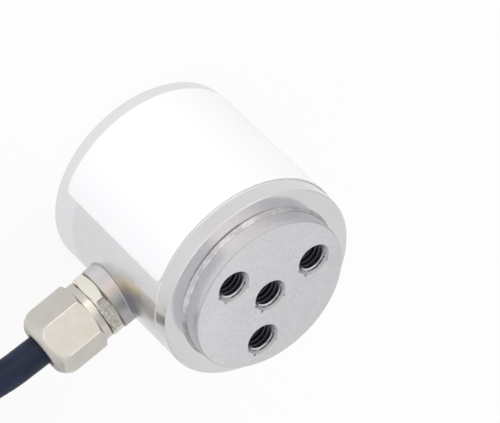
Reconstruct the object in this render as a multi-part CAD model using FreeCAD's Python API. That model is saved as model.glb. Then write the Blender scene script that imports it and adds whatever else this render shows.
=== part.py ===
import FreeCAD, Part
import math
import os

# Miniature column load cell with two tapped hole patterns, a side cable gland and a signal cable.
# Millimetres. +Z is the load axis, the flat base lies on z = 0 and the gland points along -X.

V = FreeCAD.Vector
Z_UP = V(0, 0, 1)
Y_AXIS = V(0, 1, 0)

# Outer body
body_d = 20.0
body_height = 20.0
cover_face_w = 2.0
boss_rise = 2.0
cover_t = 1.65
base_rim_t = 3.0
edge_chamfer = 0.12
seam_chamfer = 0.1
boss_chamfer = 0.12
weld_lip_w = 0.25
weld_lip_h = 0.42
weld_lip_gap = 0.01
sleeve_wall = 0.8

# Spring element inside the sleeve
base_spigot_t = 2.0
head_t = 7.5
column_side = 6.5
column_edge_r = 0.5

# Tapped holes
thread_d = 3.0
thread_pitch = 0.5
sink_over = 0.3
hole_circle_d = 10.2
hole_count = 3
head_web = 2.5
base_web = 1.0

# Wrap label
label_t = 0.1
label_z0 = 1.1
label_half_angle = 138.0
label_corner_r = 0.7

# Gland, with lengths along its own axis
gland_z = 8.4
nipple_rise = 1.0
nipple_wall = 0.6
gasket_t = 0.1
gasket_inset = 0.1
body_hex_len = 1.25
body_hex_turn = 57.0
hex_bevel = 0.3
shank_inset = 0.3
spigot_len = 3.2
seal_wall = 0.55
seal_pocket = 1.4
seal_proud = 0.8
pocket_wall = 0.35
washer_t = 0.4
washer_over = 0.2
nut_wall = 0.45
nut_collar_len = 0.63
nut_hex_len = 5.25
nut_hex_turn = 15.6
nut_dome_len = 1.5
nut_rear_land = 0.65

# Cable
cable_d = 3.0
cable_inset = 0.6
core_d = 0.7
core_offset = 0.55
core_reach = 2.2
lead_length = 20.0
lead_fan = 3.0
lead_drift = 3.0
tip_length = 6.0
tip_d = 0.45
hank_layers = 2
hank_rows = 6
hank_run = 45.0
hank_fold_r = 9.0
hank_reach = 27.5
tie_w = 3.6
tie_t = 0.7
tie_head = 4.6
tie_head_t = 2.4

# Inner electrical pieces
gauge_t = 0.12
gauge_side_margin = 1.65
gauge_end_margin = 0.75
board_t = 0.8
chip_l = 1.6
chip_w = 0.8
chip_t = 0.5

# Named clearances
fit_gap = 0.05
weld_gap = 0.03
label_gap = 0.03
thread_gap = 0.1
cable_gap = 0.1
mouth_gap = 0.3
nut_gap = 0.12
board_gap = 0.6
column_gap = 0.4
core_gap = 0.35
rest_gap = 0.1
tie_gap = 0.2

# Derived sizes of the body
body_r = body_d / 2.0
boss_r = body_r - cover_face_w
rim_z = body_height - boss_rise
seam_z = rim_z - cover_t
sleeve_in_r = body_r - sleeve_wall
base_top_z = base_rim_t + base_spigot_t
head_under_z = body_height - head_t
column_h = head_under_z - base_top_z
minor_d = thread_d - thread_pitch
sink_d = thread_d + sink_over

# Derived sizes of the gland, with distances along its axis from the load axis
cable_r = cable_d / 2.0
core_r = core_d / 2.0
seal_r = cable_r + seal_wall
shank_r = seal_r + fit_gap + pocket_wall
thread_r = shank_r + thread_gap
hex_af = 2.0 * (thread_r + nut_wall)
hex_corner_r = hex_af / math.sqrt(3.0)
nipple_r = thread_r + nipple_wall
nipple_end = body_r + nipple_rise
hex_start = nipple_end + gasket_t
hex_end = hex_start + body_hex_len
shank_start = sleeve_in_r - shank_inset
spigot_end = hex_end + spigot_len
seal_seat = spigot_end - seal_pocket
seal_end = spigot_end + seal_proud
washer_end = seal_end + washer_t
nut_start = hex_end + nut_gap
nut_hex_start = nut_start + nut_collar_len
nut_end = nut_hex_start + nut_hex_len
nut_dome_start = nut_end - nut_dome_len
nut_mouth_r = cable_r + mouth_gap
nut_rear_r = nut_mouth_r + nut_rear_land
cable_start = shank_start - cable_inset
floor_z = cable_r + rest_gap

os.makedirs("parts", exist_ok=True)


def save(shape, name):
    """Writes one piece as a STEP file, named after its node."""
    clean = shape.removeSplitter()
    solids = clean.Solids
    if len(solids) != 1 or not clean.isValid():
        raise ValueError(name + " is not one valid solid")
    solids[0].exportStep("parts/" + name + ".step")


def turned(profile):
    """Turns a closed (radius, height) outline about the Z axis."""
    points = [V(r, 0, z) for r, z in profile]
    face = Part.Face(Part.makePolygon(points + [points[0]]))
    return face.revolve(V(0, 0, 0), Z_UP, 360)


def ring(outer_r, inner_r, z0, z1):
    """A plain ring about the Z axis."""
    outer = Part.makeCylinder(outer_r, z1 - z0, V(0, 0, z0))
    inner = Part.makeCylinder(inner_r, z1 - z0, V(0, 0, z0))
    return outer.cut(inner)


def hexagon(z0, z1, turn):
    """A hexagonal bar about the Z axis, with one corner at the given angle."""
    points = []
    for k in range(7):
        a = math.radians(turn + 60.0 * k)
        points.append(V(hex_corner_r * math.cos(a), hex_corner_r * math.sin(a), z0))
    return Part.Face(Part.makePolygon(points)).extrude(V(0, 0, z1 - z0))


def on_gland_axis(shape):
    """Moves a piece built about +Z onto the gland axis, which points along -X."""
    moved = shape.copy()
    moved.rotate(V(0, 0, 0), Y_AXIS, -90)
    moved.translate(V(0, 0, gland_z))
    return moved


def tapped_hole(mouth, depth, inward):
    """A tapped hole at its minor diameter, with a countersunk mouth."""
    sink = (sink_d - minor_d) / 2.0
    wall = Part.makeCylinder(minor_d / 2.0, depth, mouth, inward)
    cone = Part.makeCone(sink_d / 2.0, minor_d / 2.0, sink, mouth, inward)
    return wall.fuse(cone)


def hole_mouths(z):
    """The mouths of the central hole and of the holes on the bolt circle."""
    mouths = [V(0, 0, z)]
    for k in range(hole_count):
        a = 2.0 * math.pi * k / hole_count
        mouths.append(V(hole_circle_d / 2.0 * math.cos(a), hole_circle_d / 2.0 * math.sin(a), z))
    return mouths


def route_edges(points):
    """Straight runs joined by tangent arcs; returns the edges and the smallest arc radius."""
    edges = []
    smallest = math.inf
    last = points[0]
    for i in range(1, len(points) - 1):
        before = points[i - 1].sub(points[i])
        after = points[i + 1].sub(points[i])
        turn = math.pi - before.getAngle(after)
        trim = 0.45 * min(before.Length, after.Length)
        radius = trim / math.tan(turn / 2.0)
        smallest = min(smallest, radius)
        u = V(before).normalize()
        w = V(after).normalize()
        start = points[i].add(V(u).multiply(trim))
        end = points[i].add(V(w).multiply(trim))
        inward = u.add(w).normalize()
        to_arc = radius / math.cos(turn / 2.0) - radius
        middle = points[i].add(V(inward).multiply(to_arc))
        edges.append(Part.makeLine(last, start))
        edges.append(Part.Arc(start, middle, end).toShape())
        last = end
    edges.append(Part.makeLine(last, points[-1]))
    return edges, smallest


def cord(points, radius, name):
    """A round cord along a route of points; prints its bend radius and compares its volume."""
    edges, smallest = route_edges(points)
    wire = Part.Wire(edges)
    way = points[1].sub(points[0])
    section = Part.Wire(Part.makeCircle(radius, points[0], way))
    solid = wire.makePipeShell([section], True, False)
    expected = math.pi * radius ** 2 * wire.Length
    print(name, "length", round(wire.Length, 1), "bend radius", round(smallest, 1),
          "volume share", round(solid.Volume / expected, 4))
    save(solid, name)
    return wire.Length


def wire_bar(start, stop, diameter):
    """A short straight wire between two points, with eight flats."""
    way = stop.sub(start)
    along = V(way).normalize()
    across = V(0, 0, 1).cross(along).normalize()
    over = along.cross(across)
    points = []
    for k in range(9):
        a = math.radians(22.5 + 45.0 * k)
        reach = V(across).multiply(math.cos(a)).add(V(over).multiply(math.sin(a)))
        points.append(start.add(reach.multiply(diameter / 2.0)))
    return Part.Face(Part.makePolygon(points)).extrude(way)


# Spring element: base flange, square gauged column and loading head turned from one bar
base = turned([(0, 0), (body_r - edge_chamfer, 0), (body_r, edge_chamfer), (body_r, base_rim_t),
               (sleeve_in_r - fit_gap, base_rim_t), (sleeve_in_r - fit_gap, base_top_z), (0, base_top_z)])
column = Part.makeBox(column_side, column_side, column_h, V(-column_side / 2.0, -column_side / 2.0, base_top_z))
column = column.makeFillet(column_edge_r, [e for e in column.Edges if abs(e.tangentAt(0).z) > 0.9])
head = turned([(0, head_under_z), (boss_r, head_under_z), (boss_r, body_height - boss_chamfer),
               (boss_r - boss_chamfer, body_height), (0, body_height)])
spring = base.fuse([column, head])
for mouth in hole_mouths(body_height):
    spring = spring.cut(tapped_hole(mouth, head_t - head_web, V(0, 0, -1)))
for mouth in hole_mouths(0.0):
    spring = spring.cut(tapped_hole(mouth, base_top_z - base_web, Z_UP))
save(spring, "spring_element")

# Housing sleeve between the base flange and the cover ring, with the hole for the gland shank
sleeve = turned([(sleeve_in_r, base_rim_t), (body_r, base_rim_t), (body_r, seam_z), (sleeve_in_r, seam_z)])
shank_hole = Part.makeCylinder(thread_r, body_r, V(0, 0, body_r / 2.0))
save(sleeve.cut(on_gland_axis(shank_hole)), "housing_sleeve")

# Cover ring with the weld lip round the loading head
cover_in_r = boss_r + weld_lip_gap
cover = turned([(cover_in_r, seam_z), (body_r - seam_chamfer, seam_z), (body_r, seam_z + seam_chamfer),
                (body_r, rim_z - edge_chamfer), (body_r - edge_chamfer, rim_z),
                (boss_r + weld_lip_w, rim_z), (cover_in_r, rim_z + weld_lip_h)])
save(cover, "cover_ring")

# Wrap label, open at the gland
label_r = body_r + label_gap
label = ring(label_r + label_t, label_r, label_z0, seam_z - seam_chamfer)
open_half = math.radians(180.0 - label_half_angle)
reach = 2.0 * body_r
wedge = Part.makePolygon([V(0, 0, 0), V(-reach, -reach * math.tan(open_half), 0),
                          V(-reach, reach * math.tan(open_half), 0), V(0, 0, 0)])
label = label.cut(Part.Face(wedge).extrude(V(0, 0, body_height)))
through = [e for e in label.Edges if abs(e.Length - label_t) < 0.02]
corners = [e for e in through if abs(e.tangentAt(e.FirstParameter).z) < 0.1]
save(label.makeFillet(label_corner_r, corners), "label")

# Gland nipple welded on the sleeve, saddle-cut to its curve
nipple = ring(nipple_r, thread_r, sleeve_in_r, nipple_end)
saddle = Part.makeCylinder(body_r + weld_gap, body_height)
save(on_gland_axis(nipple).cut(saddle), "gland_nipple")

# Gland gasket
save(on_gland_axis(ring(nipple_r - gasket_inset, thread_r, nipple_end, hex_start)), "gland_gasket")

# Gland body: threaded shank, hexagon and spigot with a pocket for the seal
hex_trim = turned([(0, hex_start), (hex_af / 2.0, hex_start), (hex_corner_r, hex_start + hex_bevel),
                   (hex_corner_r, hex_end - hex_bevel), (hex_af / 2.0, hex_end), (0, hex_end)])
gland_body = hexagon(hex_start, hex_end, body_hex_turn).common(hex_trim)
gland_body = gland_body.fuse(Part.makeCylinder(shank_r, spigot_end - shank_start, V(0, 0, shank_start)))
gland_body = gland_body.cut(Part.makeCylinder(cable_r + cable_gap, nut_end))
gland_body = gland_body.cut(Part.makeCylinder(seal_r + fit_gap, seal_pocket, V(0, 0, seal_seat)))
save(on_gland_axis(gland_body), "gland_body")

# Seal bush squeezed round the cable, and its thrust washer
save(on_gland_axis(ring(seal_r, cable_r + fit_gap, seal_seat, seal_end)), "seal_bush")
save(on_gland_axis(ring(seal_r + washer_over, cable_r + cable_gap, seal_end, washer_end)), "thrust_washer")

# Compression nut: round collar, long hexagon and domed rear
dome_r = hex_corner_r - nut_rear_r
nut_trim = turned([(0, nut_hex_start), (hex_af / 2.0, nut_hex_start), (hex_corner_r, nut_hex_start + hex_bevel),
                   (hex_corner_r, nut_dome_start),
                   (nut_rear_r + 0.88 * dome_r, nut_dome_start + 0.36 * nut_dome_len),
                   (nut_rear_r + 0.6 * dome_r, nut_dome_start + 0.68 * nut_dome_len),
                   (nut_rear_r + 0.22 * dome_r, nut_dome_start + 0.92 * nut_dome_len),
                   (nut_rear_r, nut_end), (0, nut_end)])
nut = hexagon(nut_hex_start, nut_end, nut_hex_turn).common(nut_trim)
nut = nut.fuse(Part.makeCylinder(hex_af / 2.0, nut_collar_len, V(0, 0, nut_start)))
nut = nut.cut(Part.makeCylinder(thread_r, washer_end - nut_start, V(0, 0, nut_start)))
nut = nut.cut(Part.makeCylinder(nut_mouth_r, nut_end))
save(on_gland_axis(nut), "gland_nut")

# Strain gauges on the four column faces
board_z = base_top_z + board_t
gauge_w = column_side - 2.0 * gauge_side_margin
gauge_h = head_under_z - board_z - 2.0 * gauge_end_margin
gauge_foot = V(column_side / 2.0, -gauge_w / 2.0, board_z + gauge_end_margin)
gauge = Part.makeBox(gauge_t, gauge_w, gauge_h, gauge_foot)
for k, side in enumerate(("right", "rear", "left", "front")):
    placed = gauge.copy()
    placed.rotate(V(0, 0, 0), Z_UP, 90.0 * k)
    save(placed, "strain_gauge_" + side)

# Terminal board round the column, lying on the base spigot
board_r = sleeve_in_r - board_gap
board_open = column_side + 2.0 * column_gap
board = Part.makeCylinder(board_r, board_t, V(0, 0, base_top_z))
opening = Part.makeBox(board_open, board_open, board_t, V(-board_open / 2.0, -board_open / 2.0, base_top_z))
save(board.cut(opening), "terminal_board")

# Trim resistors on the board
chip_r = (board_r + board_open / 2.0) / 2.0
chip = Part.makeBox(chip_w, chip_l, chip_t, V(chip_r - chip_w / 2.0, -chip_l / 2.0, board_z))
for name, angle in (("zero_trim_resistor", 0.0), ("span_trim_resistor", 60.0), ("temperature_resistor", -60.0)):
    placed = chip.copy()
    placed.rotate(V(0, 0, 0), Z_UP, angle)
    save(placed, name)

# Cable cores, straight from the cut end of the cable down to the board
core_colours = ("red", "black", "green", "white")
core_places = ((1, 1), (-1, 1), (1, -1), (-1, -1))
for colour, (side, level) in zip(core_colours, core_places):
    start = V(-cable_start + core_gap, side * core_offset, gland_z + level * core_offset)
    reach_x = core_reach * (1.0 + 0.25 * level)
    foot = V(start.x + reach_x, start.y * (2.1 + 0.9 * level), board_z + core_gap)
    save(wire_bar(start, foot, core_d), "core_" + colour)

# Signal cable from the gland down to the floor and along the hank of spare cable
hank_in_r = hank_fold_r - cable_r
hank_out_r = hank_in_r + hank_layers * cable_d
hank_z0 = tie_t + tie_gap + rest_gap
hank_z1 = hank_z0 + hank_rows * cable_d
hank_x = -(hank_reach + hank_out_r + hank_run / 2.0)
hank_y = -(hank_out_r + cable_r + tie_gap)
fold_x = hank_x - hank_run / 2.0
cable_run = cord([V(-cable_start, 0, gland_z), V(-24.0, 0, gland_z), V(-44.0, 0.3, floor_z + 1.0),
                  V(fold_x, 0, floor_z)], cable_r, "cable")


def hank_bar(radius):
    """A bar with round ends, as long as the runs of the hank and one fold at each end."""
    height = hank_z1 - hank_z0
    bar = Part.makeBox(hank_run, 2.0 * radius, height, V(fold_x, hank_y - radius, hank_z0))
    far_fold = Part.makeCylinder(radius, height, V(fold_x, hank_y, hank_z0))
    near_fold = Part.makeCylinder(radius, height, V(fold_x + hank_run, hank_y, hank_z0))
    return bar.fuse([far_fold, near_fold]).removeSplitter()


# Hank of the spare cable, as its outer shape
save(hank_bar(hank_out_r).cut(hank_bar(hank_in_r)), "cable_hank")

# Tie round one side of the hank, with its head on the inner side
tie_in_w = hank_out_r - hank_in_r + 2.0 * tie_gap
tie_in_h = hank_z1 - hank_z0 + 2.0 * tie_gap
tie_y = hank_y - hank_out_r - tie_gap
tie_z = hank_z0 - tie_gap
tie = Part.makeBox(tie_w, tie_in_w + 2.0 * tie_t, tie_in_h + 2.0 * tie_t,
                   V(hank_x - tie_w / 2.0, tie_y - tie_t, tie_z - tie_t))
head_foot = V(hank_x - tie_head / 2.0, tie_y + tie_in_w + tie_t, hank_z1 - 1.5 * tie_head)
tie = tie.fuse(Part.makeBox(tie_head, tie_head_t, tie_head, head_foot))
save(tie.cut(Part.makeBox(tie_w, tie_in_w, tie_in_h, V(hank_x - tie_w / 2.0, tie_y, tie_z))), "cable_tie")

# Far end of the cable, lying inside the hank
tail_x = hank_x + hank_run / 6.0
tail_y = hank_y + hank_in_r - cable_r - rest_gap
tail_points = [V(tail_x, tail_y, floor_z), V(tail_x - 9.0, tail_y - 1.6, floor_z)]
tail_run = cord(tail_points, cable_r, "cable_tail")

# Insulated leads with tinned tips at the far end, fanned out down to the floor
tail_way = tail_points[-1].sub(tail_points[-2]).normalize()
end = tail_points[-1].add(V(tail_way).multiply(core_gap))
for colour, (side, level) in zip(core_colours, core_places):
    start = V(end.x, end.y + side * core_offset, end.z + level * core_offset)
    fan = side * lead_fan * (0.5 + 0.25 * (1 + level))
    far = V(end.x - lead_length - tip_length, start.y + fan - lead_drift, core_r + rest_gap)
    stop = start.add(far.sub(start).multiply(lead_length / (lead_length + tip_length)))
    save(wire_bar(start, stop, core_d), "lead_" + colour)
    save(wire_bar(stop, far, tip_d), "lead_tip_" + colour)

turn_length = 2.0 * (hank_run + math.pi * (hank_in_r + hank_out_r) / 2.0)
print("cable in all", round(cable_run + turn_length * (hank_layers * hank_rows - 1) + tail_run))
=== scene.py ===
"""Looks of a miniature column load cell: turned steel body, blank wrap label, nickel gland and cable."""

import logging
import math
from dataclasses import dataclass
from enum import Enum
from typing import Any, Iterable, Sequence

import bpy
from mathutils import Matrix, Vector


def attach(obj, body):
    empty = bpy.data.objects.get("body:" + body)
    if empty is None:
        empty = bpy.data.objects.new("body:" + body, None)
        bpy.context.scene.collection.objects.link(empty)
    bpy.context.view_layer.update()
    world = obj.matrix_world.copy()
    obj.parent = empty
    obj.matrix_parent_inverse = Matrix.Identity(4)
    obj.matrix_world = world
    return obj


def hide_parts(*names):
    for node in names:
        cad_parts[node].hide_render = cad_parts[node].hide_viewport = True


Span = tuple[float, float]
Triple = tuple[float, float, float]

LOG = logging.getLogger("load_cell")
MM = 0.001
MERGE = 1.0e-6
ROOT = "root"

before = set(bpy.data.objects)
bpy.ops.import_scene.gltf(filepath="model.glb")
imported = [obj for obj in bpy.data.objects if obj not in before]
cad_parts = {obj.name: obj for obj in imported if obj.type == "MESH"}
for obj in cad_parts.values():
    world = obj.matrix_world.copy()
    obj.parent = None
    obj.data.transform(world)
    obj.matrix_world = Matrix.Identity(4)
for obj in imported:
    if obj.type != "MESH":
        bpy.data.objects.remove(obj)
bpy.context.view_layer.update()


class Grain(Enum):
    """The way in which a cutting or drawing tool has left its fine marks."""

    TURNED = "rings about the load axis and along it"
    DRAWN = "rings along the load axis"
    GLAND = "rings along the gland's axis"


class Sock:
    """A shader value; Python operators on it add Math nodes."""

    def __init__(self, graph: "Graph", socket: bpy.types.NodeSocket) -> None:
        """Keeps the graph and the socket that gives the value."""
        self.graph = graph
        self.socket = socket

    def _math(self, operation: str, first: Any, second: Any) -> "Sock":
        """Adds one Math node.

        Args:
            operation: the node's operation.
            first: its first value or link.
            second: its second value or link.

        Returns:
            The node's result.
        """
        return self.graph.node("ShaderNodeMath", {"operation": operation}, {0: first, 1: second})

    def __add__(self, other: Any) -> "Sock":
        """Adds."""
        return self._math("ADD", self, other)

    def __radd__(self, other: Any) -> "Sock":
        """Adds, reflected."""
        return self._math("ADD", other, self)

    def __sub__(self, other: Any) -> "Sock":
        """Subtracts."""
        return self._math("SUBTRACT", self, other)

    def __rsub__(self, other: Any) -> "Sock":
        """Subtracts, reflected."""
        return self._math("SUBTRACT", other, self)

    def __mul__(self, other: Any) -> "Sock":
        """Multiplies."""
        return self._math("MULTIPLY", self, other)

    def __rmul__(self, other: Any) -> "Sock":
        """Multiplies, reflected."""
        return self._math("MULTIPLY", other, self)

    def __pow__(self, other: Any) -> "Sock":
        """Raises to a power."""
        return self._math("POWER", self, other)

    def larger(self, other: Any) -> "Sock":
        """Gives the larger of two values."""
        return self._math("MAXIMUM", self, other)

    def smaller(self, other: Any) -> "Sock":
        """Gives the smaller of two values."""
        return self._math("MINIMUM", self, other)

    def rise(self, low: float, high: float) -> "Sock":
        """Gives 0 up to one value, 1 from another, and a smooth rise between them."""
        inputs = {"Value": self, "From Min": low, "From Max": high}
        return self.graph.node("ShaderNodeMapRange", {"interpolation_type": "SMOOTHSTEP"}, inputs)


class Graph:
    """The node tree of one material or of the world."""

    def __init__(self, tree: bpy.types.NodeTree) -> None:
        """Empties the tree."""
        self.tree = tree
        tree.nodes.clear()

    def node(self, kind: str, settings: dict[str, Any], inputs: dict[Any, Any], output: Any = 0) -> Sock:
        """Adds a node.

        Args:
            kind: the node's type.
            settings: its properties; "stops" holds a colour ramp's (position, colour) pairs.
            inputs: socket name or number to a value or a Sock.
            output: name or number of the socket that is returned.

        Returns:
            The chosen output.
        """
        made = self.tree.nodes.new(kind)
        for key, value in settings.items():
            if key == "stops":
                self._set_stops(made.color_ramp, value)
            else:
                setattr(made, key, value)
        for key, value in inputs.items():
            if isinstance(value, Sock):
                self.tree.links.new(value.socket, made.inputs[key])
            else:
                made.inputs[key].default_value = value
        return Sock(self, made.outputs[output]) if len(made.outputs) else Sock(self, None)

    @staticmethod
    def _set_stops(ramp: bpy.types.ColorRamp, stops: Sequence[tuple[float, tuple]]) -> None:
        """Gives a colour ramp its stops."""
        while len(ramp.elements) < len(stops):
            ramp.elements.new(1.0)
        for element, (position, colour) in zip(ramp.elements, stops):
            element.position = position
            element.color = colour

    def coordinates(self) -> Sock:
        """Gives the piece's own coordinates, in metres."""
        return self.node("ShaderNodeTexCoord", {}, {}, "Object")

    def axis(self, name: str) -> Sock:
        """Gives one of the piece's own coordinates, in metres."""
        return self.node("ShaderNodeSeparateXYZ", {}, {0: self.coordinates()}, name)

    def radius(self) -> Sock:
        """Gives the distance from the load axis, in metres."""
        x, y = self.axis("X"), self.axis("Y")
        return (x * x + y * y) ** 0.5

    def noise(self, scale: float, detail: float) -> Sock:
        """Adds a noise in the piece's own coordinates.

        Args:
            scale: cells per metre.
            detail: octaves.

        Returns:
            A value about 0.5.
        """
        inputs = {"Vector": self.coordinates(), "Scale": scale, "Detail": detail}
        return self.node("ShaderNodeTexNoise", {}, inputs, "Fac")

    def lines(self, along: Sock, scale: float) -> Sock:
        """Adds fine parallel lines that vary along one value.

        Args:
            along: the value that they vary along, in metres.
            scale: lines per metre.

        Returns:
            A value about 0.5.
        """
        settings = {"noise_dimensions": "1D"}
        return self.node("ShaderNodeTexNoise", settings, {"W": along, "Scale": scale, "Detail": 4.0}, "Fac")

    def mix(self, share: Any, first: Any, second: Any) -> Sock:
        """Mixes two colours.

        Args:
            share: share of the second colour.
            first: the first colour.
            second: the second colour.

        Returns:
            The mixed colour.
        """
        settings = {"data_type": "RGBA"}
        return self.node("ShaderNodeMix", settings, {0: share, 6: first, 7: second}, 2)

    def bump(self, height: Sock, depth: float) -> Sock:
        """Turns a height into a normal.

        Args:
            height: the height, from 0 to 1.
            depth: what a height of 1 stands for, in metres.

        Returns:
            The normal.
        """
        return self.node("ShaderNodeBump", {}, {"Height": height, "Distance": depth, "Strength": 1.0})

    def surface(self, **sockets: Any) -> None:
        """Adds the main shader and the output; socket names have _ for a space."""
        inputs = {name.replace("_", " "): value for name, value in sockets.items()}
        shader = self.node("ShaderNodeBsdfPrincipled", {}, inputs)
        self.node("ShaderNodeOutputMaterial", {}, {0: shader})


def rgb(red: float, green: float, blue: float) -> tuple[float, float, float, float]:
    """Gives an opaque colour."""
    return (red, green, blue, 1.0)


def shade(tint: Triple, share: float) -> tuple[float, float, float, float]:
    """Gives a share of a colour, as an opaque colour."""
    return rgb(*(share * c for c in tint))


def new_material(name: str) -> tuple[bpy.types.Material, Graph]:
    """Adds an empty node material.

    Args:
        name: the material's name.

    Returns:
        The material and its graph.
    """
    material = bpy.data.materials.new(name)
    material.use_nodes = True
    return material, Graph(material.node_tree)


@dataclass(frozen=True)
class Steel:
    """Stainless steel with fine tool marks and a faint handling haze."""

    name: str
    tint: Triple
    roughness: float
    grain: Grain
    grain_depth: float = 0.4e-6
    lines_per_metre: float = 30000.0
    haze_scale: float = 260.0
    haze_shade: float = 0.93
    haze_rough: float = 0.1
    marks_rough: float = 0.08

    def marks(self, graph: Graph) -> Sock:
        """Adds the tool marks, a value about 0.5."""
        if self.grain is Grain.TURNED:
            along = graph.radius() + graph.axis("Z")
        elif self.grain is Grain.DRAWN:
            along = graph.axis("Z")
        else:
            along = graph.axis("X")
        return graph.lines(along, self.lines_per_metre)

    def haze(self, graph: Graph) -> Sock:
        """Adds the haze, a value about 0.5."""
        return graph.noise(self.haze_scale, 5.0)

    def hazed(self, graph: Graph, haze: Sock) -> Sock:
        """Gives the tint, a little darker where the haze is low."""
        return graph.mix(haze, shade(self.tint, self.haze_shade), rgb(*self.tint))

    def rough(self, base: Any, haze: Sock, marks: Sock) -> Sock:
        """Gives the roughness about a base value, uneven with the haze and the tool marks."""
        return base + self.haze_rough * (haze - 0.5) + self.marks_rough * (marks - 0.5)

    def material(self) -> bpy.types.Material:
        """Builds the material."""
        material, graph = new_material(self.name)
        marks, haze = self.marks(graph), self.haze(graph)
        graph.surface(
            Base_Color=self.hazed(graph, haze),
            Metallic=1.0,
            Roughness=self.rough(self.roughness, haze, marks),
            Normal=graph.bump(marks, self.grain_depth),
        )
        return material


@dataclass(frozen=True)
class WeldedSteel(Steel):
    """Turned steel with a duller weld bead round its bore."""

    bead_r: float = 8.25 * MM
    bead_edge: float = 0.02 * MM
    bead_rough: float = 0.28
    bead_height: float = 6.0
    bead_dark: Triple = (0.42, 0.41, 0.42)
    bead_light: Triple = (0.56, 0.55, 0.55)
    polish_shade: float = 0.9
    patches: Span = (0.35, 0.65)

    def material(self) -> bpy.types.Material:
        """Builds the material."""
        material, graph = new_material(self.name)
        marks, haze = self.marks(graph), self.haze(graph)
        bead = 1.0 - graph.radius().rise(self.bead_r - self.bead_edge, self.bead_r)
        polish = graph.noise(110.0, 2.0).rise(*self.patches)
        ripple = graph.noise(1300.0, 3.0)
        clean = graph.mix(0.4 * haze + 0.6 * polish, shade(self.tint, self.polish_shade), rgb(*self.tint))
        scale = graph.mix(ripple.rise(*self.patches), rgb(*self.bead_dark), rgb(*self.bead_light))
        graph.surface(
            Base_Color=graph.mix(bead, clean, scale),
            Metallic=1.0,
            Roughness=self.rough(self.roughness, haze, marks) + self.bead_rough * bead,
            Normal=graph.bump(marks + self.bead_height * (ripple * bead), self.grain_depth),
        )
        return material


@dataclass(frozen=True)
class TintAndShadeSteel(Steel):
    """Drawn steel beside a brazed joint: a browned brazing tint, and a painted shade and reflection of the
    nipple as a dark blue-grey band at the joint.
    """

    joint_z: float = 8.4 * MM
    slant: float = 0.6
    band_w: float = 3.4 * MM
    side_y: float = 4.85 * MM
    side_edge: float = 0.25 * MM
    cloud_w: float = 0.8 * MM
    gland_side: Span = (-6.0 * MM, -4.0 * MM)
    begin: Span = (-2.1 * MM, -1.6 * MM)
    foot: Span = (1.0 * MM, 1.9 * MM)
    corner_rise: Span = (3.9 * MM, 6.5 * MM)
    corner_out: Span = (-1.6 * MM, 0.3 * MM)
    fade: Span = (4.8 * MM, 6.6 * MM)
    # Band stops: painted shade and reflection of the nipple in dark blue-grey, then a browned brazing tint,
    # then nearly plain steel.
    heat_and_shade: tuple[tuple[float, Triple], ...] = (
        (0.0, (0.37, 0.38, 0.43)),
        (0.4, (0.73, 0.655, 0.51)),
        (0.75, (0.92, 0.88, 0.74)),
        (1.0, (0.965, 0.965, 0.965)),
    )

    def material(self) -> bpy.types.Material:
        """Builds the material."""
        material, graph = new_material(self.name)
        marks, haze = self.marks(graph), self.haze(graph)
        x, y, z = (graph.axis(name) for name in "XYZ")
        rise = z - self.joint_z
        cloud = self.cloud_w * (graph.noise(420.0, 3.0) - 0.5)
        out = y - self.slant * rise + cloud
        # The band beside the nipple's foot is painted shade and reflection of the nipple, mixed with a
        # browned brazing tint.
        zone = (1.0 - x.rise(*self.gland_side)) * out.rise(*self.begin) * rise.rise(*self.foot)
        zone = zone * (1.0 - (y + cloud).rise(self.side_y - self.side_edge, self.side_y + self.side_edge))
        zone = zone * (1.0 - rise.rise(*self.corner_rise) * (1.0 - out.rise(*self.corner_out)))
        zone = zone * (1.0 - 0.5 * rise.rise(*self.fade))
        stops = [(place, rgb(*(c * f for c, f in zip(self.tint, burn_and_shade)))) for place, burn_and_shade in self.heat_and_shade]
        burnt_and_shaded = graph.node("ShaderNodeValToRGB", {"stops": stops}, {0: out.rise(0.0, self.band_w)})
        graph.surface(
            Base_Color=graph.mix(zone, self.hazed(graph, haze), burnt_and_shaded),
            Metallic=1.0,
            Roughness=self.rough(self.roughness, haze, marks),
            Normal=graph.bump(marks, self.grain_depth),
        )
        return material


@dataclass(frozen=True)
class BrownedShadedSteel(Steel):
    """Turned steel of the nipple, browned by brazing towards its upper side, with painted shade that makes
    it darker at the top.
    """

    axis_z: float = 8.4 * MM
    # Browned brazing tint, darkened as painted shade.
    brown_and_shade: Triple = (0.46, 0.405, 0.385)
    # Painted shade at the top of the nipple.
    dull: Triple = (0.44, 0.44, 0.435)
    brown_and_shade_rise: Span = (-0.6 * MM, 2.0 * MM)
    top_shade_rise: Span = (1.9 * MM, 2.6 * MM)

    def material(self) -> bpy.types.Material:
        """Builds the material."""
        material, graph = new_material(self.name)
        marks, haze = self.marks(graph), self.haze(graph)
        rise = graph.axis("Z") - self.axis_z
        # Painted shade: the nipple darkens towards its top, partly a browned brazing tint.
        warm = graph.mix(rise.rise(*self.brown_and_shade_rise), self.hazed(graph, haze), rgb(*self.brown_and_shade))
        graph.surface(
            Base_Color=graph.mix(rise.rise(*self.top_shade_rise), warm, rgb(*self.dull)),
            Metallic=1.0,
            Roughness=self.rough(self.roughness, haze, marks),
            Normal=graph.bump(marks, self.grain_depth),
        )
        return material


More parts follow.
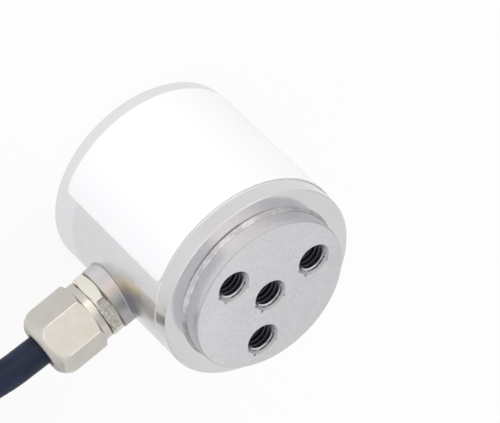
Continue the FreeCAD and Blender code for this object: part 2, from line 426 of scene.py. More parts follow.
@dataclass(frozen=True)
class DrilledSteel(Steel):
    """Turned steel with painted shade inside its tapped holes, small dark marks round their mouths, painted
    shade on the countersinks and the head's top edge, and a painted slant of light over the load face.
    """

    holes: tuple[Span, ...] = ()
    bore: float = 1.58 * MM
    height: float = 20.0 * MM
    sink: float = 0.42 * MM
    side_roughness: float = 0.25
    mouth: float = 1.65 * MM
    boss_r: float = 8.0 * MM
    # Sectors of dark flecks round the mouths.
    mark_sectors: tuple[tuple[float, float, float, float], ...] = (
        (180.0, 9.0, 1.6, 1.86), (218.0, 6.0, 1.58, 1.92), (312.0, 6.0, 1.62, 1.84),
    )
    sector_in: float = 0.06
    sector_out: float = 0.1
    line_in: Span = (1.35 * MM, 1.39 * MM)
    line_out: Span = (1.43 * MM, 1.49 * MM)
    sunk_in: Span = (1.4 * MM, 1.5 * MM)
    fine: float = 0.02 * MM
    face_drop: Span = (0.25 * MM, 0.1 * MM)
    edge_drop: Span = (0.14 * MM, 0.1 * MM)
    slant_span: float = 20.0 * MM
    base_top: float = 3.0 * MM
    base_tint: Triple = (0.84, 0.84, 0.865)
    # Dark end of the haze and of the painted slant of light over the load face.
    haze_and_slant_shade: float = 0.84
    # Painted shade on the countersinks and the head's top edge.
    sink_and_edge_shade: float = 0.6
    # Painted shade inside the holes; also the colour of the dark marks round the mouths.
    shade_and_mark_tint: Triple = (0.085, 0.085, 0.11)

    def nearest(self, x: Sock, y: Sock) -> tuple[Sock, Sock, Sock]:
        """Finds the nearest hole.

        Args:
            x: place along X.
            y: place along Y.

        Returns:
            The distance from its axis, and the way from its axis along X and along Y.
        """
        away = [((x - cx) ** 2.0 + (y - cy) ** 2.0) ** 0.5 for cx, cy in self.holes]
        near, dx, dy = away[0], x - self.holes[0][0], y - self.holes[0][1]
        for (cx, cy), other in zip(self.holes[1:], away[1:]):
            ours = (near - other).rise(-0.01 * MM, 0.01 * MM)
            dx = dx * (1.0 - ours) + (x - cx) * ours
            dy = dy * (1.0 - ours) + (y - cy) * ours
            near = near.smaller(other)
        return near, dx, dy

    def mouth_marks(self, graph: Graph, near: Sock, dx: Sock, dy: Sock) -> Sock:
        """Gives the share of the dark line and the dark flecked sectors round the mouths.

        Args:
            graph: the material's graph.
            near: distance from the nearest hole's axis.
            dx: way from that axis along X.
            dy: way from that axis along Y.

        Returns:
            The share, from 0 to 1.
        """
        flecks = 0.35 + 0.65 * graph.noise(2600.0, 3.0).rise(0.42, 0.55)
        line = near.rise(*self.line_in) * (1.0 - near.rise(*self.line_out))
        mouth_marks = 0.9 * (line * (0.3 + 0.7 * flecks))
        for degrees, half, first, last in self.mark_sectors:
            turn = math.radians(degrees)
            facing = (dx * math.cos(turn) + dy * math.sin(turn)) * near ** -1.0
            sector = facing.rise(math.cos(math.radians(half)), math.cos(math.radians(0.4 * half)))
            begun = near.rise(first * MM, (first + self.sector_in) * MM)
            ended = near.rise((last - self.sector_out) * MM, last * MM)
            mouth_marks = mouth_marks.larger(0.7 * (sector * (begun * (1.0 - ended)) * flecks))
        return mouth_marks

    def material(self) -> bpy.types.Material:
        """Builds the material."""
        material, graph = new_material(self.name)
        x, y, z = (graph.axis(name) for name in "XYZ")
        near, dx, dy = self.nearest(x, y)
        face = z.rise(*(self.height - drop for drop in self.face_drop))
        top = self.height - self.sink
        deep = z.rise(self.sink, self.sink + 0.3 * MM) * (1.0 - z.rise(top - 0.06 * MM, top))
        # Painted shade inside the tapped holes.
        inside = (1.0 - near.rise(self.bore, self.bore + self.fine)) * deep
        sunk = near.rise(*self.sunk_in) * (1.0 - near.rise(self.mouth - self.fine, self.mouth + self.fine))
        # Painted shade in the holes together with the dark marks round the mouths.
        shade_and_marks = inside.larger(self.mouth_marks(graph, near, dx, dy))
        marks = self.marks(graph)
        haze = 0.35 * graph.noise(420.0, 5.0) + 0.65 * graph.noise(2400.0, 3.0)
        # Painted light: a slant of lightness over the load face, lighter towards +Y and -X.
        tone_mix = (0.5 + (y - x) * (1.0 / self.slant_span)).smaller(1.0).larger(0.0)
        light = (0.15 + 0.35 * face) * haze.rise(0.38, 0.62) + 0.5 * tone_mix + 0.17 * (1.0 - face)
        clean = graph.mix(light, shade(self.tint, self.haze_and_slant_shade), rgb(*self.tint))
        # Painted shade: the countersinks and the head's top edge are darkened.
        rim = graph.radius().rise(*(self.boss_r - drop for drop in self.edge_drop))
        edge = rim * z.rise(*(self.height - drop for drop in self.edge_drop))
        clean = graph.mix((0.9 * sunk).larger(0.7 * edge), clean, shade(self.tint, self.sink_and_edge_shade))
        clean = graph.mix(z.rise(self.base_top, self.base_top + 0.1 * MM), rgb(*self.base_tint), clean)
        base = self.side_roughness + (self.roughness - self.side_roughness) * face
        graph.surface(
            Base_Color=graph.mix(shade_and_marks, clean, rgb(*self.shade_and_mark_tint)),
            Metallic=1.0 - 0.2 * inside,
            Roughness=self.rough(base, haze, marks) + 0.1 * shade_and_marks,
            Normal=graph.bump(marks, self.grain_depth),
        )
        return material


@dataclass(frozen=True)
class Nickel:
    """Satin nickel plate on brass, with a warm cast and fine pits."""

    name: str
    tint: Triple = (0.66, 0.645, 0.615)
    roughness: float = 0.3
    dimples: float = 1.0e-6
    land_x: float = -18.25 * MM
    land_w: float = 0.7 * MM
    axis_z: float = 8.4 * MM
    corner_r: float = 3.455 * MM
    corner_edge: float = 0.035 * MM
    # Painted highlight colour along the corners.
    corner_highlight: Triple = (0.93, 0.915, 0.88)
    warm_cast: Triple = (0.95, 0.91, 0.86)
    scuff: float = 0.0
    scuff_rise: float = 2.0 * MM
    scuff_shade: float = 0.6

    def material(self) -> bpy.types.Material:
        """Builds the material, with a painted highlight on the corners and dull on the land at the cable's
        end.
        """
        material, graph = new_material(self.name)
        y, high = graph.axis("Y"), graph.axis("Z") - self.axis_z
        # Painted highlight along the hexagon corners.
        edge_highlight = ((y * y + high * high) ** 0.5).rise(self.corner_r - self.corner_edge, self.corner_r)
        land = 1.0 - graph.axis("X").rise(self.land_x, self.land_x + self.land_w)
        cloud = graph.noise(600.0, 5.0)
        pits = graph.noise(5000.0, 2.0)
        marks = graph.lines(graph.axis("X"), 5000.0)
        warm = rgb(*(c * f for c, f in zip(self.tint, self.warm_cast)))
        tone_mix = cloud.rise(0.35, 0.65) * 0.7 + 0.3 * marks
        scuffed = self.scuff * high.rise(self.scuff_rise - 0.05 * MM, self.scuff_rise + 0.1 * MM)
        light = graph.noise(4200.0, 2.0).rise(0.3, 0.7)
        plate = graph.mix(tone_mix, warm, rgb(*self.tint))
        plate = graph.mix(scuffed * (1.0 - light), plate, shade(self.tint, self.scuff_shade))
        dull = self.roughness + 0.3 * land + 0.22 * scuffed
        graph.surface(
            Base_Color=graph.mix(edge_highlight, plate, rgb(*self.corner_highlight)),
            Metallic=1.0 - 0.75 * land,
            Roughness=dull + 0.14 * (cloud - 0.5) + 0.08 * (pits - 0.5),
            Normal=graph.bump(pits, self.dimples),
        )
        return material


@dataclass(frozen=True)
class Film:
    """White printed film with a satin face."""

    name: str
    tint: Triple = (0.93, 0.94, 0.97)

    def material(self) -> bpy.types.Material:
        """Builds the material."""
        material, graph = new_material(self.name)
        fibre = graph.noise(6000.0, 4.0)
        tone = graph.noise(180.0, 2.0)
        graph.surface(
            Base_Color=graph.mix(tone, shade(self.tint, 0.97), rgb(*self.tint)),
            Roughness=0.42 + 0.1 * (fibre - 0.5),
            Normal=graph.bump(fibre, 1.0e-6),
        )
        return material


@dataclass(frozen=True)
class Moulded:
    """Extruded or moulded plastic or rubber, with a fine skin and light scuffs."""

    name: str
    tint: Triple
    scuffed: Triple
    roughness: float = 0.45
    skin_depth: float = 4.0e-6
    skin_scale: float = 4000.0
    shine: float = 0.5

    def material(self) -> bpy.types.Material:
        """Builds the material."""
        material, graph = new_material(self.name)
        skin = graph.noise(self.skin_scale, 3.0)
        scuff = graph.noise(350.0, 6.0)
        stops = [(0.45, rgb(0.0, 0.0, 0.0)), (0.75, rgb(1.0, 1.0, 1.0))]
        share = graph.node("ShaderNodeValToRGB", {"stops": stops}, {0: scuff})
        graph.surface(
            Specular_IOR_Level=self.shine,
            Base_Color=graph.mix(share, rgb(*self.tint), rgb(*self.scuffed)),
            Roughness=self.roughness + 0.2 * (scuff - 0.5),
            Normal=graph.bump(skin, self.skin_depth),
        )
        return material


@dataclass(frozen=True)
class Tinned:
    """Bare metal wire or washer with a dull, uneven surface."""

    name: str
    tint: Triple

    def material(self) -> bpy.types.Material:
        """Builds the material."""
        material, graph = new_material(self.name)
        dull = graph.noise(2500.0, 3.0)
        graph.surface(
            Base_Color=graph.mix(dull, shade(self.tint, 0.75), rgb(*self.tint)),
            Metallic=1.0,
            Roughness=0.3 + 0.25 * (dull - 0.5),
            Normal=graph.bump(dull, 6.0e-6),
        )
        return material


@dataclass(frozen=True)
class Foil:
    """A strain gauge: metal grid lines on amber film."""

    name: str
    film: Triple = (0.5, 0.26, 0.06)
    metal: Triple = (0.55, 0.5, 0.44)

    def material(self) -> bpy.types.Material:
        """Builds the material."""
        material, graph = new_material(self.name)
        across = graph.axis("X") + graph.axis("Y")
        waves = graph.node("ShaderNodeMath", {"operation": "SINE"}, {0: across * 16000.0})
        grid = graph.node("ShaderNodeMath", {"operation": "GREATER_THAN"}, {0: waves, 1: 0.1})
        graph.surface(
            Base_Color=graph.mix(grid, rgb(*self.film), rgb(*self.metal)),
            Metallic=grid,
            Roughness=0.5 - 0.15 * grid,
        )
        return material


def deselect() -> None:
    """Leaves edit mode and deselects everything."""
    if bpy.context.object and bpy.context.object.mode != "OBJECT":
        bpy.ops.object.mode_set(mode="OBJECT")
    bpy.ops.object.select_all(action="DESELECT")


def activate(piece: bpy.types.Object) -> None:
    """Selects one piece alone and makes it active."""
    deselect()
    piece.select_set(True)
    bpy.context.view_layer.objects.active = piece


def apply_modifiers(piece: bpy.types.Object) -> None:
    """Applies all modifiers of a piece, in order."""
    activate(piece)
    for name in [m.name for m in piece.modifiers]:
        bpy.ops.object.modifier_apply(modifier=name)


def copy_node(node: str, name: str) -> bpy.types.Object:
    """Copies a CAD node as a new piece with merged corners.

    Args:
        node: the CAD node.
        name: the new piece's name.

    Returns:
        The new piece.
    """
    piece = bpy.data.objects.new(name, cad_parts[node].data.copy())
    bpy.context.scene.collection.objects.link(piece)
    piece.data.name = name
    piece.data.materials.clear()
    activate(piece)
    bpy.ops.object.mode_set(mode="EDIT")
    bpy.ops.mesh.select_all(action="SELECT")
    bpy.ops.mesh.remove_doubles(threshold=MERGE)
    bpy.ops.mesh.customdata_custom_splitnormals_clear()
    bpy.ops.object.mode_set(mode="OBJECT")
    return piece


def soften(piece: bpy.types.Object, width: float, angle: float = 28.0) -> None:
    """Breaks a piece's sharp edges.

    Args:
        piece: the piece.
        width: the bevel's width, in metres.
        angle: edges sharper than this are bevelled, in degrees.
    """
    activate(piece)
    bpy.ops.object.mode_set(mode="EDIT")
    bpy.ops.mesh.select_all(action="SELECT")
    bpy.ops.mesh.dissolve_limited(angle_limit=math.radians(0.4))
    bpy.ops.object.mode_set(mode="OBJECT")
    bevel = piece.modifiers.new("edge_break", "BEVEL")
    bevel.width = width
    bevel.segments = 2
    bevel.limit_method = "ANGLE"
    bevel.angle_limit = math.radians(angle)
    apply_modifiers(piece)
    smooth(piece, 40.0)
    weight = piece.modifiers.new("flat_faces", "WEIGHTED_NORMAL")
    weight.keep_sharp = True
    apply_modifiers(piece)


def smooth(piece: bpy.types.Object, angle: float = 24.0) -> None:
    """Smooths a piece's shading, except over sharp edges."""
    activate(piece)
    bpy.ops.object.shade_smooth_by_angle(angle=math.radians(angle))


def seat(
    piece: bpy.types.Object, material: bpy.types.Material, nodes: Iterable[str] = (),
) -> None:
    """Puts a finished piece on the body.

    Args:
        piece: the piece.
        material: the piece's finish.
        nodes: CAD nodes that it stands for.
    """
    piece.data.materials.clear()
    piece.data.materials.append(material)
    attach(piece, ROOT)
    if nodes:
        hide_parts(*nodes)
    LOG.info("piece %s in %s", piece.name, material.name)


def paint_node(node: str, material: bpy.types.Material) -> None:
    """Gives a CAD node that stays in view its finish."""
    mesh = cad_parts[node].data
    mesh.materials.clear()
    mesh.materials.append(material)
    LOG.info("node %s in %s", node, material.name)


@dataclass
class SpringElement:
    """Base, column and loading head in one piece, with threads cut in its tapped holes."""

    height: float = 20.0 * MM
    hole_circle_r: float = 5.1 * MM
    hole_count: int = 3
    pitch: float = 0.5 * MM
    root_r: float = 1.5 * MM
    inner_r: float = 1.14 * MM
    flank: float = math.radians(33.0)
    run_out: float = 0.1 * MM
    head_depth: float = 4.7 * MM
    base_depth: float = 3.7 * MM
    steps: int = 36

    def mouths(self) -> list[Span]:
        """Gives the holes' places on the face."""
        turns = (2.0 * math.pi * k / self.hole_count for k in range(self.hole_count))
        r = self.hole_circle_r
        return [(0.0, 0.0)] + [(r * math.cos(turn), r * math.sin(turn)) for turn in turns]

    def cutter(self, depth: float) -> bpy.types.Object:
        """Models one thread groove below z = 0, about the Z axis.

        Args:
            depth: the thread's depth.

        Returns:
            A closed helical solid.
        """
        deselect()
        half = (self.root_r - self.inner_r) * math.tan(self.flank)
        bpy.ops.mesh.primitive_circle_add(vertices=3, radius=half, fill_type="NOTHING")
        groove = bpy.context.object
        corners = ((self.inner_r, half), (self.root_r, 0.0), (self.inner_r, -half))
        for vertex, (r, z) in zip(groove.data.vertices, corners):
            vertex.co = (r, 0.0, z + self.run_out + self.pitch)
        screw = groove.modifiers.new("thread", "SCREW")
        screw.axis = "Z"
        screw.screw_offset = -self.pitch
        screw.iterations = round((depth + self.run_out) / self.pitch)
        screw.steps = self.steps
        screw.render_steps = self.steps
        apply_modifiers(groove)
        bpy.ops.object.mode_set(mode="EDIT")
        bpy.ops.mesh.select_all(action="SELECT")
        bpy.ops.mesh.fill_holes(sides=3)
        bpy.ops.mesh.normals_make_consistent(inside=False)
        bpy.ops.object.mode_set(mode="OBJECT")
        return groove

    def grooves(self) -> bpy.types.Object:
        """Models the grooves of all holes.

        Returns:
            One object of separate helical solids.
        """
        copies = []
        for depth, top in ((self.head_depth, True), (self.base_depth, False)):
            model = self.cutter(depth)
            for x, y in self.mouths():
                copy = model.copy()
                copy.data = model.data.copy()
                bpy.context.scene.collection.objects.link(copy)
                turn = Matrix.Identity(4) if top else Matrix.Rotation(math.pi, 4, "X")
                place = Matrix.Translation((x, y, self.height if top else 0.0))
                copy.data.transform(place @ turn)
                copies.append(copy)
            bpy.data.objects.remove(model)
        activate(copies[0])
        for copy in copies:
            copy.select_set(True)
        bpy.ops.object.join()
        return copies[0]

    def build(self) -> bpy.types.Object:
        """Cuts the threads into a copy of the node.

        Returns:
            The finished piece.
        """
        piece = copy_node("spring_element", "threaded_spring_element")
        tool = self.grooves()
        cut = piece.modifiers.new("threads", "BOOLEAN")
        cut.operation = "DIFFERENCE"
        cut.solver = "EXACT"
        cut.object = tool
        apply_modifiers(piece)
        bpy.data.objects.remove(tool)
        smooth(piece)
        return piece

    def dress(self) -> None:
        """Builds the piece and gives it its finish."""
        finish = DrilledSteel("turned_spring_steel", (0.71, 0.705, 0.735), 0.3, Grain.TURNED,
                              holes=tuple(self.mouths()), height=self.height)
        seat(self.build(), finish.material(), ["spring_element"])


@dataclass
class Housing:
    """Sleeve, cover ring and wrap label."""

    seam_edge: float = 0.1 * MM
    label_lift: float = 0.24 * MM
    label_foot: float = 2.0 * MM

    def lift_label(self, label: bpy.types.Object) -> None:
        """Lifts the label's lower edge to where the wrap was stuck on.

        Args:
            label: the piece to change.
        """
        activate(label)
        bpy.ops.object.mode_set(mode="EDIT")
        bpy.ops.mesh.select_mode(type="VERT")
        bpy.ops.mesh.select_all(action="DESELECT")
        bpy.ops.object.mode_set(mode="OBJECT")
        for vertex in label.data.vertices:
            vertex.select = vertex.co.z < self.label_foot
        bpy.ops.object.mode_set(mode="EDIT")
        bpy.ops.transform.translate(value=(0.0, 0.0, self.label_lift))
        bpy.ops.object.mode_set(mode="OBJECT")

    def break_edge(self, sleeve: bpy.types.Object) -> None:
        """Bevels the sleeve's edge at the cover seam.

        Args:
            sleeve: the piece to change.
        """
        activate(sleeve)
        bpy.ops.object.mode_set(mode="EDIT")
        bpy.ops.mesh.select_all(action="SELECT")
        bpy.ops.mesh.dissolve_limited(angle_limit=math.radians(0.5))
        bpy.ops.mesh.select_all(action="DESELECT")
        bpy.ops.object.mode_set(mode="OBJECT")
        top = max(vertex.co.z for vertex in sleeve.data.vertices)
        reach = max(vertex.co.x for vertex in sleeve.data.vertices)
        for vertex in sleeve.data.vertices:
            vertex.select = vertex.co.z > top - MERGE and vertex.co.xy.length > reach - 1.0e-5
        bpy.ops.object.mode_set(mode="EDIT")
        bpy.ops.mesh.select_mode(type="VERT")
        bpy.ops.mesh.select_mode(type="EDGE")
        bpy.ops.mesh.bevel(offset=self.seam_edge, segments=1, affect="EDGES")
        bpy.ops.object.mode_set(mode="OBJECT")

    def dress(self) -> None:
        """Builds and finishes the three pieces."""
        sleeve = copy_node("housing_sleeve", "drawn_sleeve")
        self.break_edge(sleeve)
        smooth(sleeve)
        # The sleeve carries painted shade and reflection of the nipple beside the gland, with a browned
        # brazing tint.
        drawn = TintAndShadeSteel("drawn_housing_steel", (0.81, 0.81, 0.835), 0.28, Grain.DRAWN)
        seat(sleeve, drawn.material(), ["housing_sleeve"])
        cover = copy_node("cover_ring", "welded_cover_ring")
        smooth(cover)
        bright = WeldedSteel("bright_cover_steel", (0.74, 0.735, 0.75), 0.15, Grain.TURNED)
        seat(cover, bright.material(), ["cover_ring"])
        label = copy_node("label", "blank_wrap_label")
        self.lift_label(label)
        smooth(label)
        seat(label, Film("white_label_film").material(), ["label"])


@dataclass
class Gland:
    """Nipple, gasket, gland body, seal, washer and compression nut."""

    edge: float = 0.15 * MM
    axis_z: float = 8.4 * MM
    body_r: float = 10.0 * MM
    nipple_r: float = 3.15 * MM
    weld_leg: float = 0.1 * MM
    weld_lift: float = 0.006 * MM
    weld_steps: int = 96
    weld_rows: int = 6

    def on_body(self, r: float, angle: float) -> Vector:
        """Gives the point of the round body that lies at a radius and angle about the gland's axis."""
        y = r * math.sin(angle)
        reach = self.body_r + self.weld_lift
        return Vector((-math.sqrt(reach * reach - y * y), y, self.axis_z + r * math.cos(angle)))

    def weld(self) -> bpy.types.Object:
        """Models the hollow fillet between the nipple's foot and the body.

        Returns:
            The finished piece.
        """
        deselect()
        steps, rows = self.weld_steps, self.weld_rows
        bpy.ops.mesh.primitive_grid_add(x_subdivisions=steps, y_subdivisions=rows, size=1.0)
        piece = bpy.context.object
        piece.name = piece.data.name = "nipple_weld"
        inner = self.nipple_r + self.weld_lift
        for vertex in piece.data.vertices:
            angle = 2.0 * math.pi * (vertex.co.x + 0.5)
            along = vertex.co.y + 0.5
            corner = self.on_body(inner, angle)
            foot = self.on_body(inner + self.weld_leg, angle)
            top = corner - Vector((self.weld_leg, 0.0, 0.0))
            vertex.co = (1.0 - along) ** 2 * top + 2.0 * along * (1.0 - along) * corner + along ** 2 * foot
        bpy.ops.object.mode_set(mode="EDIT")
        bpy.ops.mesh.select_all(action="SELECT")
        bpy.ops.mesh.remove_doubles(threshold=MERGE)
        bpy.ops.mesh.normals_make_consistent(inside=False)
        bpy.ops.object.mode_set(mode="OBJECT")
        smooth(piece, 60.0)
        return piece

    def dress(self) -> None:
        """Builds and finishes the pieces."""
        satin = Nickel("satin_nickel").material()
        bright = Nickel("bright_nickel", (0.87, 0.855, 0.79), 0.22, 9.0e-6, scuff=1.0).material()
        for node, name, finish in (
            ("gland_body", "hexagon_gland_body", bright),
            ("gland_nut", "domed_gland_nut", satin),
        ):
            piece = copy_node(node, name)
            soften(piece, self.edge)
            seat(piece, finish, [node])
        # The nipple carries painted shade, darker towards its top.
        turned = BrownedShadedSteel("turned_nipple_steel", (0.735, 0.735, 0.755), 0.42, Grain.GLAND).material()
        bead = Steel("nipple_weld_steel", (0.53, 0.52, 0.52), 0.42, Grain.GLAND).material()
        nipple = copy_node("gland_nipple", "welded_nipple")
        smooth(nipple)
        seat(nipple, turned, ["gland_nipple"])
        seat(self.weld(), bead)
        rubber = Moulded("black_seal_rubber", (0.02, 0.02, 0.02), (0.04, 0.04, 0.04), 0.6).material()
        fibre = Moulded("grey_gasket", (0.3, 0.28, 0.25), (0.38, 0.36, 0.33), 0.7).material()
        for node, name, finish in (
            ("gland_gasket", "flat_gasket", fibre),
            ("seal_bush", "rubber_seal_bush", rubber),
        ):
            piece = copy_node(node, name)
            smooth(piece)
            seat(piece, finish, [node])
        paint_node("thrust_washer", Tinned("plain_washer_brass", (0.7, 0.52, 0.28)).material())


@dataclass
class Electronics:
    """Gauges, board and trim resistors inside the closed housing."""

    def dress(self) -> None:
        """Finishes the inner nodes."""
        foil = Foil("foil_on_film").material()
        for side in ("right", "rear", "left", "front"):
            paint_node("strain_gauge_" + side, foil)
        board = Moulded("green_board", (0.03, 0.16, 0.07), (0.05, 0.24, 0.1), 0.4)
        paint_node("terminal_board", board.material())
        chip = Moulded("black_chip", (0.02, 0.02, 0.02), (0.06, 0.06, 0.06), 0.5).material()
        for name in ("zero_trim_resistor", "span_trim_resistor", "temperature_resistor"):
            paint_node(name, chip)


@dataclass
class SignalCable:
    """The cable from the gland along its hank and on to its bare leads."""

    radius: float = 1.5 * MM
    gland_z: float = 8.4 * MM
    exit_x: float = -18.35 * MM
    floor_z: float = 1.6 * MM
    fold_x: float = -86.0 * MM
    hank_y: float = -15.2 * MM
    hank_run: float = 45.0 * MM
    hank_z0: float = 1.0 * MM
    inner_r: float = 9.0 * MM
    outer_r: float = 12.0 * MM
    lane_r: float = 15.2 * MM
    rows: int = 6
    fold_points: int = 8
    length: float = 1.78
    run_mm: tuple[Triple, ...] = (
        (-8.3, 0.0, 8.4), (-15.0, 0.0, 8.4), (-18.5, 0.1, 8.3),
        (-24.0, 0.2, 8.2), (-44.0, 0.3, 2.6), (-86.0, 0.0, 1.6),
    )
    tail_mm: tuple[Triple, ...] = (
        (-46.5, -6.8, 2.4), (-51.0, -8.4, 2.0), (-56.0, -9.3, 1.6), (-65.0, -10.9, 1.6),
    )

    def laps(self) -> list[tuple[float, float, float, float]]:
        """Gives each lap of the hank in the order of winding.

        Returns:
            Radius at the far fold, radius at the near fold, height, and height of the next lap.
        """
        heights = [self.hank_z0 + (2 * row + 1) * self.radius for row in range(self.rows)]
        up = [(self.outer_r, self.outer_r, z, above) for z, above in zip(heights, heights[1:])]
        change = [(self.outer_r, self.inner_r, heights[-1], heights[-2])]
        falling = heights[-2::-1]
        followed = zip(falling, falling[1:] + falling[-1:])
        down = [(self.inner_r, self.inner_r, z, below) for z, below in followed]
        return up + change + down

    def fold(
        self, x: float, first: float, radii: Sequence[float], heights: Sequence[float],
    ) -> list[Vector]:
        """Gives the control points of one half-round fold.

        Args:
            x: place of the fold's centre along the hank.
            first: angle at which the fold begins.
            radii: the cable's radius at each point.
            heights: the cable's height at each point.

        Returns:
            Points on the polygon that the fold touches.
        """
        step = math.pi / self.fold_points
        points = []
        for k, (r, z) in enumerate(zip(radii, heights)):
            a = first + (k + 0.5) * step
            out = r / math.cos(step / 2.0)
            points.append(Vector((x + out * math.cos(a), self.hank_y + out * math.sin(a), z)))
        return points

    def hank_points(self) -> list[Vector]:
        """Gives the control points of all laps, as far as the last near fold."""
        count = self.fold_points
        near_x = self.fold_x + self.hank_run
        laps = self.laps()
        points = []
        for k, (far_r, near_r, z, next_z) in enumerate(laps):
            joined = [min(1.0, 2.0 * (i + 1) / count) if k == 0 else 1.0 for i in range(count)]
            radii = [self.lane_r + (far_r - self.lane_r) * share for share in joined]
            heights = [self.floor_z + (z - self.floor_z) * share for share in joined]
            points += self.fold(self.fold_x, math.pi / 2.0, radii, heights)
            for part, share in ((0.25, 0.0), (0.5, 0.5), (0.75, 1.0)):
                r = far_r + (near_r - far_r) * share
                points.append(Vector((self.fold_x + part * self.hank_run, self.hank_y - r, z)))
            points += self.fold(near_x, 1.5 * math.pi, [near_r] * count, [z] * count)
            if k < len(laps) - 1:
                for part, share in ((0.25, 0.0), (0.5, 0.0), (0.75, 0.5)):
                    high = z + (next_z - z) * share
                    points.append(Vector((near_x - part * self.hank_run, self.hank_y + near_r, high)))
        return points

    def route(self) -> list[Vector]:
        """Gives the control points of the whole cable."""
        run, tail = ([Vector(point) * MM for point in part] for part in (self.run_mm, self.tail_mm))
        return run + self.hank_points() + tail

    def build(self) -> bpy.types.Object:
        """Makes the cable as one smooth spline.

        Returns:
            The cable.
        """
        curve = bpy.data.curves.new("signal_cable", "CURVE")
        curve.dimensions = "3D"
        curve.bevel_depth = self.radius
        curve.bevel_resolution = 5
        curve.resolution_u = 6
        curve.use_fill_caps = True
        spline = curve.splines.new("NURBS")
        points = self.route()
        spline.points.add(len(points) - 1)
        for point, place in zip(spline.points, points):
            point.co = (*place, 1.0)
        spline.order_u = 3
        spline.use_endpoint_u = True
        cable = bpy.data.objects.new("signal_cable", curve)
        bpy.context.scene.collection.objects.link(cable)
        return cable

    def dress(self) -> None:
        """Builds the cable and finishes it and what is on it."""
        jacket = Moulded("blue_black_jacket", (0.007, 0.014, 0.036), (0.02, 0.03, 0.07), 0.5,
                         skin_depth=3.0e-6, skin_scale=2600.0, shine=0.25)
        cable = self.build()
        seat(cable, jacket.material(), ["cable", "cable_hank", "cable_tail"])
        tie = Moulded("black_tie", (0.015, 0.015, 0.015), (0.04, 0.04, 0.04), 0.5)
        paint_node("cable_tie", tie.material())
        tin = Tinned("tinned_strands", (0.72, 0.71, 0.69)).material()
        on_cable = ["cable_tie"]
        for colour, tint in (
            ("red", (0.5, 0.02, 0.02)),
            ("black", (0.015, 0.015, 0.015)),
            ("green", (0.02, 0.26, 0.06)),
            ("white", (0.8, 0.8, 0.78)),
        ):
            light = tuple(min(1.0, 1.3 * c + 0.02) for c in tint)
            coat = Moulded(colour + "_insulation", tint, light, 0.35,
                           skin_depth=2.0e-6, skin_scale=5000.0).material()
            for stem in ("core_", "lead_"):
                paint_node(stem + colour, coat)
            paint_node("lead_tip_" + colour, tin)
            on_cable += ["lead_" + colour, "lead_tip_" + colour]
        2.0 * self.radius


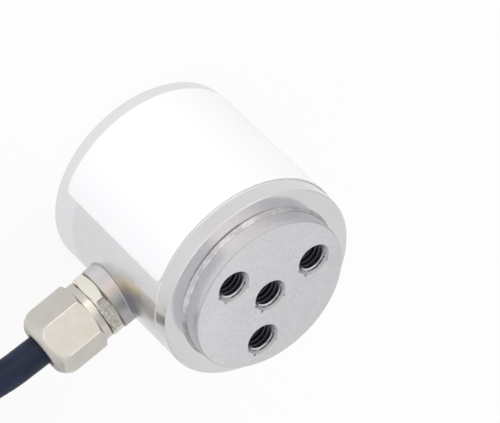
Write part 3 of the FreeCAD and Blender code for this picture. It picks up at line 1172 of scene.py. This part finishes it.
@dataclass
class Studio:
    """Floor, soft light and the camera at the photograph's angle."""

    eye: Triple = (-55.3788 * MM, 299.2366 * MM, 240.9659 * MM)
    right: Triple = (0.764326, -0.289965, 0.575956)
    up: Triple = (0.625658, 0.549661, -0.553556)
    back: Triple = (-0.156068, 0.783449, 0.601539)
    focal_px: float = 4200.0
    image_width_px: float = 500.0
    sensor: float = 36.0
    floor_size: float = 6.0
    floor_tint: Triple = (0.9, 0.9, 0.9)
    white: Triple = (1.0, 1.0, 1.0)
    warm: Triple = (1.0, 0.965, 0.925)
    glow: float = 0.88
    mirrored_glow: float = 0.6
    brightness: float = 1.6
    far_low: float = 0.48
    near_low: float = 1.12
    shoulder: float = 0.66
    roof: float = 0.6
    opening: float = 0.17
    low_top: Span = (0.22, 0.4)
    wall_top: Span = (0.66, 0.74)
    shoulder_top: Span = (0.82, 0.9)
    roof_top: Span = (0.955, 0.975)
    panels: tuple[tuple[float, float, bool], ...] = (
        (-180.0, 0.55, False), (12.0, 0.55, False), (55.0, 0.86, True),
        (92.0, 1.0, True), (115.0, 0.55, False), (180.0, 0.55, False),
    )

    def floor(self) -> None:
        """Adds the plain pale floor, white to the camera and in what metal mirrors."""
        deselect()
        bpy.ops.mesh.primitive_plane_add(size=self.floor_size)
        floor = bpy.context.object
        floor.name = "floor"
        material, graph = new_material("pale_floor")
        diffuse = graph.node("ShaderNodeBsdfDiffuse", {}, {"Color": rgb(*self.floor_tint)})
        glow = graph.node("ShaderNodeEmission", {}, {"Color": rgb(*self.white), "Strength": 1.0})
        seen = graph.node("ShaderNodeLightPath", {}, {}, "Is Camera Ray")
        mirrored = graph.node("ShaderNodeLightPath", {}, {}, "Is Glossy Ray")
        through = graph.node("ShaderNodeLightPath", {}, {}, "Is Transmission Ray")
        share = (self.glow * seen.larger(through)).larger(self.mirrored_glow * mirrored)
        mixed = graph.node("ShaderNodeMixShader", {}, {0: share, 1: diffuse, 2: glow})
        graph.node("ShaderNodeOutputMaterial", {}, {0: mixed})
        floor.data.materials.append(material)

    def world(self) -> None:
        """Adds a soft white surround: a low band, walls with one key light, a shoulder and a roof."""
        world = bpy.data.worlds.new("white_tent")
        world.use_nodes = True
        bpy.context.scene.world = world
        graph = Graph(world.node_tree)
        direction = graph.node("ShaderNodeTexCoord", {}, {}, "Generated")
        east, north, height = (
            graph.node("ShaderNodeSeparateXYZ", {}, {0: direction}, name) for name in "XYZ"
        )
        bearing = graph.node("ShaderNodeMath", {"operation": "ARCTAN2"}, {0: north, 1: east})
        stops = []
        for degrees, level, is_warm in self.panels:
            cast = self.warm if is_warm else self.white
            stops.append(((degrees + 180.0) / 360.0, shade(cast, level)))
        walls = graph.node("ShaderNodeValToRGB", {"stops": stops}, {0: bearing * (0.5 / math.pi) + 0.5})
        near = (0.95 * north - 0.3 * east).rise(-0.3, 0.6)
        low = self.far_low + (self.near_low - self.far_low) * near
        tent = graph.mix(height.rise(*self.low_top), low, walls)
        tent = graph.mix(height.rise(*self.wall_top), tent, shade(self.warm, self.shoulder))
        tent = graph.mix(height.rise(*self.shoulder_top), tent, shade(self.white, self.roof))
        tent = graph.mix(height.rise(*self.roof_top), tent, shade(self.white, self.opening))
        sky = graph.node("ShaderNodeBackground", {}, {"Color": tent, "Strength": self.brightness})
        graph.node("ShaderNodeOutputWorld", {}, {0: sky})

    def camera(self) -> None:
        """Adds the camera."""
        data = bpy.data.cameras.new("photo_camera")
        data.sensor_width = self.sensor
        data.lens = self.sensor * self.focal_px / self.image_width_px
        data.clip_start = 0.01
        camera = bpy.data.objects.new("photo_camera", data)
        bpy.context.scene.collection.objects.link(camera)
        axes = Matrix((self.right, self.up, self.back)).transposed()
        camera.matrix_world = Matrix.Translation(self.eye) @ axes.to_4x4()
        bpy.context.scene.camera = camera

    def set_up(self) -> None:
        """Adds the whole studio."""
        self.floor()
        self.world()
        self.camera()
        settings = bpy.context.scene.view_settings
        settings.view_transform = "Standard"


def main() -> None:
    """Builds and dresses the load cell and its studio."""
    logging.basicConfig(level=logging.INFO, format="%(name)s: %(message)s")
    SpringElement().dress()
    Housing().dress()
    Gland().dress()
    Electronics().dress()
    SignalCable().dress()
    Studio().set_up()


if __name__ == "__main__":
    main()
